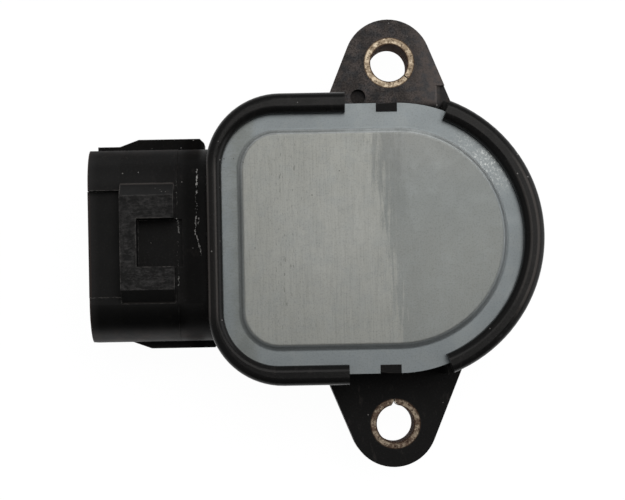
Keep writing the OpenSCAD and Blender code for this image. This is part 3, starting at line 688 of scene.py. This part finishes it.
    def panel_paint(self, make: Recipe, at: Place, left: Socket, cloud: Socket) -> Socket:
        """Paints the raised panel, warm on the left part and cold on the right one.

        Args:
            make: the recipe that takes the mask.
            at: the shaded point.
            left: the mask of the left part.
            cloud: the slow pattern between the two.

        Returns:
            The panel's colour.
        """
        middle = make.times(make.near(self.on_panel(self.bright_spot), 2.0, 12.0), 0.55)
        warm = make.mix(middle, self.panel, self.panel_light)
        cold = make.mix(make.step(at.across, *self.cool_y), self.panel_low, self.panel_cool)
        return make.mix(make.scaled(left, 0.8, make.times(cloud, 0.2)), cold, warm)

    def combed_border(self, make: Recipe, at: Place, raised: Socket) -> Value:
        """Draws the fine lines across the border's left side.

        Args:
            make: the recipe that takes the mask.
            at: the shaded point.
            raised: the mask of the raised panel, which has none.

        Returns:
            The mask of the lines.
        """
        combed = make.step(make.noise(0.22, drawn=(0.3, 1.0, 1.0), rough=0.7), 0.46, 0.68)
        left_border = make.rest(make.largest(raised, make.step(at.along, *self.combed_end)))
        return make.times(combed, left_border, 0.30)

    def dashes(self, make: Recipe, at: Place, brushed: Value) -> Value:
        """Returns a mask of the short dark dashes in the brushed part."""
        dashes = make.step(make.noise(0.30, detail=2.0, drawn=(1.5, 0.30, 1.0)), 0.64, 0.70)
        return make.times(dashes, brushed, make.band(at.along, self.dashes_x, 0.8, 3.0), 0.38)

    def stains(self, make: Recipe) -> Value:
        """Scatters dark specks, and spots by the upper left corner.

        Args:
            make: the recipe that takes the mask.

        Returns:
            The mask of both.
        """
        specks = make.times(make.dots(1.9, share=0.10, radius=0.06), 0.7)
        spots = make.times(make.dots(0.60, share=0.45, radius=0.22),
                           make.near(self.on_panel(self.stained_spot), 1.4, 1.8))
        return make.largest(specks, spots)

    def painted_glints(self, make: Recipe, at: Place, sloped: Socket) -> Value:
        """Scatters painted glints on the border by the round end.

        Args:
            make: the recipe that takes the mask.
            at: the shaded point.
            sloped: the mask of the step round the panel, which has fewer of them.

        Returns:
            The mask of the painted glints.
        """
        level = self.panel_level - self.panel_rise
        region = make.largest(*(make.times(make.near((along, across, level), radius, 2.8), share)
                                for along, across, radius, share in self.glint_spots))
        flakes = make.step(make.noise(0.26, rough=0.7), 0.52, 0.62)
        border_only = make.rest(make.times(sloped, 0.6))
        low = make.sum(Kind.UNDER, at.up, self.panel_level - 0.1)
        return make.times(region, low, make.scaled(make.times(flakes, border_only), 0.62, 0.14))


@dataclass(frozen=True)
class RolledSleeve:
    """Yellow-passivated rolled steel with rough sheared faces and a dark bore, sizes in millimetres."""

    name: str
    pos_y: float
    face: Colour = (0.28, 0.22, 0.155)
    dark: Colour = (0.05, 0.030, 0.018)
    glint: Colour = (0.52, 0.44, 0.33)
    bore: Colour = (0.11, 0.060, 0.040)
    bore_r: float = 2.6
    bush_r: float = 3.5
    roughness: float = 0.34
    gloss: float = 0.08

    def material(self) -> bpy.types.Material:
        """Lays glints and pits over the sleeve, paints shade at its outer and inner edges, and makes it brown inside
        the bore.

        Returns:
            The sleeve's metal.
        """
        make = Recipe(self.name)
        level = make.stretched((1.0, 1.0, 0.0))
        middle = (0.0, self.pos_y, 0.0)
        radius = make.node("ShaderNodeVectorMath", {0: level, 1: middle}, operation="DISTANCE").outputs[1]
        inside = make.under(radius, self.bore_r + 0.02, self.bore_r + 0.07)
        edge_shade = make.largest(make.step(radius, self.bush_r - 0.20, self.bush_r - 0.06),
                            make.under(radius, self.bore_r + 0.06, self.bore_r + 0.22))
        cloud = make.noise(0.9, detail=4.0, rough=0.7)
        pits = make.noise(0.30, rough=0.65)
        paint = make.painted(self.face, [
            (make.step(cloud, 0.56, 0.42), self.glint),
            (make.times(make.step(pits, 0.52, 0.64), 0.80), self.dark),
            # painted shade at the sleeve's outer and inner edges
            (make.times(edge_shade, 0.9), self.dark),
            (inside, self.bore),
        ])
        gloss = make.scaled(cloud, 0.3, make.scaled(inside, 0.4, self.roughness - 0.1))
        relief = make.bump(pits, depth=0.03, strength=0.8, normal=make.bump(cloud, depth=0.03, strength=0.5))
        return make.finish(Base_Color=paint, Metallic=make.rest(inside), Roughness=gloss,
                           Specular_IOR_Level=self.gloss, Normal=relief)


@dataclass(frozen=True)
class PlainFinish:
    """A finish with one colour that varies a little, for the inner pieces and the seals."""

    name: str
    colour: Colour
    second: Colour
    roughness: float
    metallic: float = 0.0
    cloud_size: float = 1.5
    grain_size: float = 0.15
    depth: float = 0.006

    def material(self) -> bpy.types.Material:
        """Lays clouds of the second colour over the first, with a fine grain.

        Returns:
            The finish.
        """
        make = Recipe(self.name)
        cloud = make.noise(self.cloud_size, detail=4.0)
        grain = make.noise(self.grain_size)
        paint = make.mix(make.step(cloud, 0.35, 0.75), self.colour, self.second)
        gloss = make.scaled(grain, 0.2, self.roughness - 0.1, clamp=True)
        relief = make.bump(grain, self.depth)
        return make.finish(Base_Color=paint, Metallic=self.metallic, Roughness=gloss, Normal=relief)


def plain_finishes() -> list[PlainFinish]:
    """Returns the finishes of the pieces inside the sensor and under it."""
    return [
        PlainFinish("gasket_rubber", (0.20, 0.05, 0.03), (0.28, 0.08, 0.05), 0.75, grain_size=0.3, depth=0.02),
        PlainFinish("terminal_metal", (0.62, 0.55, 0.38), (0.52, 0.46, 0.33), 0.3, 1.0),
        PlainFinish("board_ceramic", (0.80, 0.78, 0.72), (0.74, 0.71, 0.64), 0.6),
        PlainFinish("track_ink", (0.02, 0.02, 0.022), (0.035, 0.035, 0.04), 0.45),
        PlainFinish("solder", (0.60, 0.61, 0.63), (0.48, 0.49, 0.50), 0.22, 1.0, cloud_size=0.4),
        PlainFinish("rotor_plastic", (0.70, 0.67, 0.58), (0.62, 0.59, 0.50), 0.5),
        PlainFinish("bearing_metal", (0.60, 0.42, 0.18), (0.46, 0.31, 0.13), 0.42, 1.0, grain_size=0.08),
        PlainFinish("spring_steel", (0.42, 0.44, 0.46), (0.30, 0.31, 0.33), 0.3, 1.0),
        PlainFinish("brush_metal", (0.68, 0.46, 0.20), (0.58, 0.38, 0.17), 0.28, 1.0),
        PlainFinish("seal_rubber", (0.014, 0.014, 0.014), (0.024, 0.023, 0.022), 0.62, depth=0.012),
    ]


@dataclass
class Sensor:
    """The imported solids, each with its finish."""

    hole_y: float = 25.0
    nodes: dict[str, bpy.types.Object] = field(init=False)
    slots: dict[str, str] = field(init=False)

    def __post_init__(self) -> None:
        """Takes the solids and the names of their finishes from the frame."""
        self.nodes = frame["nodes"]
        self.slots = {part["node"]: part["material_slot"] for part in frame["record"]["subparts"]}

    def finishes(self) -> dict[str, bpy.types.Material]:
        """Makes the finishes.

        Returns:
            The finish of each node, by the node's name.
        """
        made = {finish.name: finish.material() for finish in plain_finishes()}
        made["black_plastic"] = MouldedPlastic().material()
        made["zinc_plate"] = PlatedSheet(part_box("cover_plate")[1].z / MM).material()
        by_node = {node: made[slot] for node, slot in self.slots.items() if slot in made}
        by_node["upper_ear_bush"] = RolledSleeve("bush_steel", self.hole_y).material()
        by_node["lower_ear_bush"] = RolledSleeve(
            "bush_steel_brown", -self.hole_y, face=(0.15, 0.105, 0.078), dark=(0.030, 0.019, 0.014),
            glint=(0.40, 0.33, 0.25)).material()
        return by_node

    def dress(self) -> None:
        """Puts the finishes on the solids."""
        for node, material in self.finishes().items():
            for slot in self.nodes[node].material_slots:
                slot.material = material
            LOG.info("%s has the finish %s", node, material.name)


@dataclass
class Surface:
    """The housing's outer surface, for what lies on it."""

    solid: bpy.types.Object
    ceiling: float = 40 * MM
    tree: BVHTree = field(init=False)

    def __post_init__(self) -> None:
        """Prepares the surface for questions about its height."""
        shape = bmesh.new()
        shape.from_mesh(self.solid.data)
        self.tree = BVHTree.FromBMesh(shape)
        shape.free()

    def below(self, along: float, across: float) -> tuple[Vector, Vector]:
        """Finds the surface's highest point under a place.

        Args:
            along: the place's X, in metres.
            across: the place's Y, in metres.

        Returns:
            The point and the surface's normal there.
        """
        place, normal, _, _ = self.tree.ray_cast(Vector((along, across, self.ceiling)), Vector((0, 0, -1)))
        return place, normal


@dataclass(frozen=True)
class Seam:
    """A straight stretch of a mould seam, in millimetres, and the flakes along it."""

    start: Spot
    end: Spot
    count: int
    wander: float
    size: float


@dataclass
class MouldFlash:
    """Pale flakes left along the seams on the connector's neck."""

    surface: Surface
    seed: int = 11
    flake_length: float = 0.42 * MM
    flake_width: float = 0.20 * MM
    flake_height: float = 0.05 * MM
    flake_outline: tuple[Spot, ...] = (
        (1.0, 0.0), (0.35, 1.0), (-0.4, 0.7), (-1.0, 0.0), (-0.3, -1.0), (0.4, -0.8))
    sunk_share: float = 0.2
    turn_spread: float = 0.25
    top_shift: float = 0.3
    seam_sizes: Span = (0.5, 1.0)
    speck_sizes: Span = (0.35, 0.6)
    colour: Colour = (0.70, 0.69, 0.67)
    second: Colour = (0.38, 0.38, 0.37)
    roughness: float = 0.6
    seams: tuple[Seam, ...] = (
        Seam((-26.47, 9.85), (-26.50, 9.0), 14, 0.06, 0.65),
        Seam((-26.50, 9.0), (-26.56, 7.7), 28, 0.05, 0.95),
        Seam((-26.55, 6.82), (-26.55, 6.62), 5, 0.03, 1.2),
        Seam((-26.56, 7.6), (-26.62, 3.8), 26, 0.14, 0.42),
        Seam((-26.69, 3.8), (-26.84, 1.3), 30, 0.05, 0.68),
        Seam((-26.30, 3.3), (-26.42, 2.5), 10, 0.06, 0.6),
        Seam((-26.84, 1.3), (-26.48, 0.4), 14, 0.05, 0.65),
        Seam((-26.48, 0.4), (-26.02, -1.85), 26, 0.05, 0.58),
        Seam((-29.22, 8.6), (-29.20, 5.0), 28, 0.05, 0.32),
        Seam((-29.26, 3.3), (-29.03, 1.3), 34, 0.05, 0.55),
        Seam((-29.22, 0.6), (-29.20, -4.4), 20, 0.06, 0.30),
        Seam((-29.17, -4.4), (-29.17, -5.8), 20, 0.05, 0.55),
    )
    specks: tuple[Spot, ...] = (
        (-32.95, 13.52), (-31.85, 13.22), (-31.44, 12.94), (-28.95, 13.58), (-34.29, 9.52), (-32.80, 0.11),
        (-31.34, 6.98), (-30.61, 6.70), (-32.0, 7.2), (-27.18, -0.70),
    )

    def route(self, seam: Seam) -> list[Spot]:
        """Scatters places along a seam.

        Args:
            seam: the stretch of seam.

        Returns:
            The places' X and Y, in metres.
        """
        places = []
        for _ in range(seam.count):
            share = random.random()
            stray = random.gauss(0, seam.wander)
            places.append(((seam.start[0] + (seam.end[0] - seam.start[0]) * share + stray) * MM,
                           (seam.start[1] + (seam.end[1] - seam.start[1]) * share) * MM))
        return places

    def flake(self, shape: bmesh.types.BMesh, place: Spot, size: float) -> None:
        """Adds one flake, a low ridge with pointed ends.

        Args:
            shape: the mesh that takes it.
            place: where it lies, in metres.
            size: its size, as a share of a full flake.
        """
        foot, normal = self.surface.below(*place)
        turn = random.gauss(0, self.turn_spread)
        lengthwise = Vector((math.sin(turn), math.cos(turn), 0))
        lengthwise = (lengthwise - normal * lengthwise.dot(normal)).normalized()
        side = normal.cross(lengthwise)
        half = 0.5 * self.flake_length * size
        wide = 0.5 * self.flake_width * size
        sunk = normal * (self.sunk_share * self.flake_height)
        ring = [lengthwise * (half * ahead) + side * (wide * aside) for ahead, aside in self.flake_outline]
        low = [shape.verts.new(foot - sunk + corner) for corner in ring]
        shift = random.uniform(-self.top_shift, self.top_shift)
        top = shape.verts.new(foot + normal * (self.flake_height * size) + lengthwise * (half * shift))
        for index, corner in enumerate(low):
            shape.faces.new((corner, low[(index + 1) % len(low)], top))
        shape.faces.new(list(reversed(low)))

    def build(self) -> bpy.types.Object:
        """Makes the flakes as one piece that rides on the sensor's body.

        Returns:
            The piece.
        """
        random.seed(self.seed)
        shape = bmesh.new()
        for seam in self.seams:
            for place in self.route(seam):
                self.flake(shape, place, seam.size * random.uniform(*self.seam_sizes))
        for along, across in self.specks:
            self.flake(shape, (along * MM, across * MM), random.uniform(*self.speck_sizes))
        mesh = bpy.data.meshes.new("neck_flash")
        shape.to_mesh(mesh)
        shape.free()
        piece = bpy.data.objects.new("neck_flash", mesh)
        bpy.context.scene.collection.objects.link(piece)
        pale = PlainFinish("pale_flash", self.colour, self.second, self.roughness, cloud_size=0.5)
        mesh.materials.append(pale.material())
        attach(piece, "sensor_body")
        return piece


@dataclass(frozen=True)
class Glow:
    """A soft patch of light in the room, seen round a direction."""

    direction: Point
    edge: float
    core: float
    strength: float


@dataclass
class Studio:
    """The camera, the soft light and the white floor."""

    frame_width: float = 625.0
    frame_height: float = 500.0
    sensor_width: float = 36.0
    focal_pixels: float = 1660.8
    camera_place: Point = (-16.10 * MM, -14.78 * MM, 235.5 * MM)
    roll: float = -1.049
    centre_pixel: Spot = (278.0, 352.1)
    clip: Span = (0.01, 20.0)
    floor_half: float = 1.5
    floor_gap: float = 0.2 * MM
    paper: Colour = (0.78, 0.78, 0.78)
    paper_light: Colour = (0.82, 0.82, 0.82)
    paper_tint: Colour = (0.08, 0.08, 0.08)
    paper_glow: float = 0.975
    lamp_place: Point = (0.12, 0.24, 0.76)
    lamp_size: float = 0.46
    lamp_power: float = 1.4
    lamp_colour: Colour = (1.0, 0.97, 0.94)
    room_light: float = 0.05
    glows: tuple[Glow, ...] = (
        Glow((0.10, 0.22, 0.97), 0.72, 1.0, 0.12),
        Glow((0.10, 0.90, 0.42), 0.30, 0.95, 0.34),
        Glow((0.96, 0.10, 0.25), 0.74, 0.95, 1.9),
        Glow((-0.90, 0.00, 0.43), 0.40, 0.95, 0.34),
    )

    def camera(self) -> bpy.types.Object:
        """Sets up the camera, which looks straight down on the cover.

        Returns:
            The camera.
        """
        lens = bpy.data.cameras.new("camera")
        lens.sensor_width = self.sensor_width
        lens.lens = self.focal_pixels * self.sensor_width / self.frame_width
        lens.shift_x = (self.frame_width / 2 - self.centre_pixel[0]) / self.frame_width
        lens.shift_y = (self.centre_pixel[1] - self.frame_height / 2) / self.frame_width
        lens.clip_start, lens.clip_end = self.clip
        made = bpy.data.objects.new("camera", lens)
        made.location = self.camera_place
        made.rotation_euler = (0.0, 0.0, math.radians(self.roll))
        bpy.context.scene.collection.objects.link(made)
        bpy.context.scene.camera = made
        return made

    def lamp(self) -> bpy.types.Object:
        """Sets up the softbox, which stands beyond the upper ear and faces the sensor.

        Returns:
            The softbox.
        """
        light = bpy.data.lights.new("softbox", "AREA")
        light.shape = "SQUARE"
        light.size = self.lamp_size
        light.energy = self.lamp_power
        light.color = self.lamp_colour
        made = bpy.data.objects.new("softbox", light)
        made.location = self.lamp_place
        made.rotation_euler = Vector(self.lamp_place).to_track_quat("Z", "Y").to_euler()
        bpy.context.scene.collection.objects.link(made)
        return made

    def floor(self) -> bpy.types.Object:
        """Lays the white floor, which keeps a faint shadow of the sensor.

        Returns:
            The floor.
        """
        half = self.floor_half
        level = cad_box[0].z - self.floor_gap
        mesh = bpy.data.meshes.new("floor")
        mesh.from_pydata([(-half, -half, level), (half, -half, level), (half, half, level), (-half, half, level)],
                         [], [(0, 1, 2, 3)])
        made = bpy.data.objects.new("floor", mesh)
        bpy.context.scene.collection.objects.link(made)
        mesh.materials.append(self.floor_material())
        return made

    def floor_material(self) -> bpy.types.Material:
        """Makes the floor's paper, white where the camera, metal or glass sees it.

        Returns:
            The paper.
        """
        make = Recipe("white_paper")
        path = make.node("ShaderNodeLightPath").outputs
        seen = make.largest(path["Is Camera Ray"], path["Is Glossy Ray"], path["Is Transmission Ray"])
        fibre = make.mix(make.noise(2.0, detail=4.0), self.paper, self.paper_light)
        lit = make.node("ShaderNodeBsdfDiffuse", {"Color": fibre}).outputs[0]
        faint = make.node("ShaderNodeBsdfDiffuse", {"Color": (*self.paper_tint, 1.0)}).outputs[0]
        glow = make.node("ShaderNodeEmission", {"Strength": self.paper_glow}).outputs[0]
        white = make.node("ShaderNodeAddShader", {0: faint, 1: glow}).outputs[0]
        both = make.node("ShaderNodeMixShader", {0: seen, 1: lit, 2: white}).outputs[0]
        make.node("ShaderNodeOutputMaterial", {0: both})
        return make.material

    def world(self) -> bpy.types.World:
        """Lights the room: white for the camera, soft patches on a dim ground for the rest.

        Returns:
            The room's light.
        """
        made = bpy.data.worlds.new("room")
        made.use_nodes = True
        tree = made.node_tree
        tree.nodes.clear()

        def add(kind: str, first: object, second: object, **settings: object) -> bpy.types.Node:
            """Adds a node and fills its first two sockets.

            Args:
                kind: the node's type.
                first: a value or another node's output for the first socket.
                second: the same for the second one.
                settings: the node's own properties.

            Returns:
                The new node.
            """
            node = tree.nodes.new(kind)
            for name, value in settings.items():
                setattr(node, name, value)
            for socket, value in zip(node.inputs, (first, second)):
                if isinstance(value, Socket):
                    tree.links.new(value, socket)
                else:
                    socket.default_value = value
            return node

        direction = tree.nodes.new("ShaderNodeTexCoord").outputs["Generated"]
        level = self.room_light
        for glow in self.glows:
            axis = Vector(glow.direction).normalized()
            facing = add("ShaderNodeVectorMath", direction, axis, operation="DOT_PRODUCT").outputs["Value"]
            patch = add("ShaderNodeMapRange", facing, glow.edge, interpolation_type="SMOOTHSTEP")
            patch.inputs["From Max"].default_value = glow.core
            patch.inputs["To Max"].default_value = glow.strength
            level = add("ShaderNodeMath", level, patch.outputs[0], operation="ADD").outputs[0]
        strength = tree.nodes.new("ShaderNodeMix")
        tree.links.new(tree.nodes.new("ShaderNodeLightPath").outputs["Is Camera Ray"], strength.inputs[0])
        tree.links.new(level, strength.inputs[2])
        strength.inputs[3].default_value = 1.0
        background = tree.nodes.new("ShaderNodeBackground")
        tree.links.new(strength.outputs[0], background.inputs["Strength"])
        out = tree.nodes.new("ShaderNodeOutputWorld")
        tree.links.new(background.outputs[0], out.inputs[0])
        bpy.context.scene.world = made
        return made

    def build(self) -> None:
        """Sets up the whole studio."""
        self.camera()
        self.lamp()
        self.floor()
        self.world()
        bpy.context.scene.view_settings.view_transform = "Standard"


def main() -> None:
    """Builds the scene and reports each piece."""
    logging.basicConfig(level=logging.INFO, format="%(message)s")
    Studio().build()
    LOG.info("the studio stands")
    sensor = Sensor()
    sensor.dress()
    surface = Surface(sensor.nodes["housing"])
    flash = MouldFlash(surface).build()
    LOG.info("%s has %d faces", flash.name, len(flash.data.polygons))


if __name__ == "__main__":
    main()
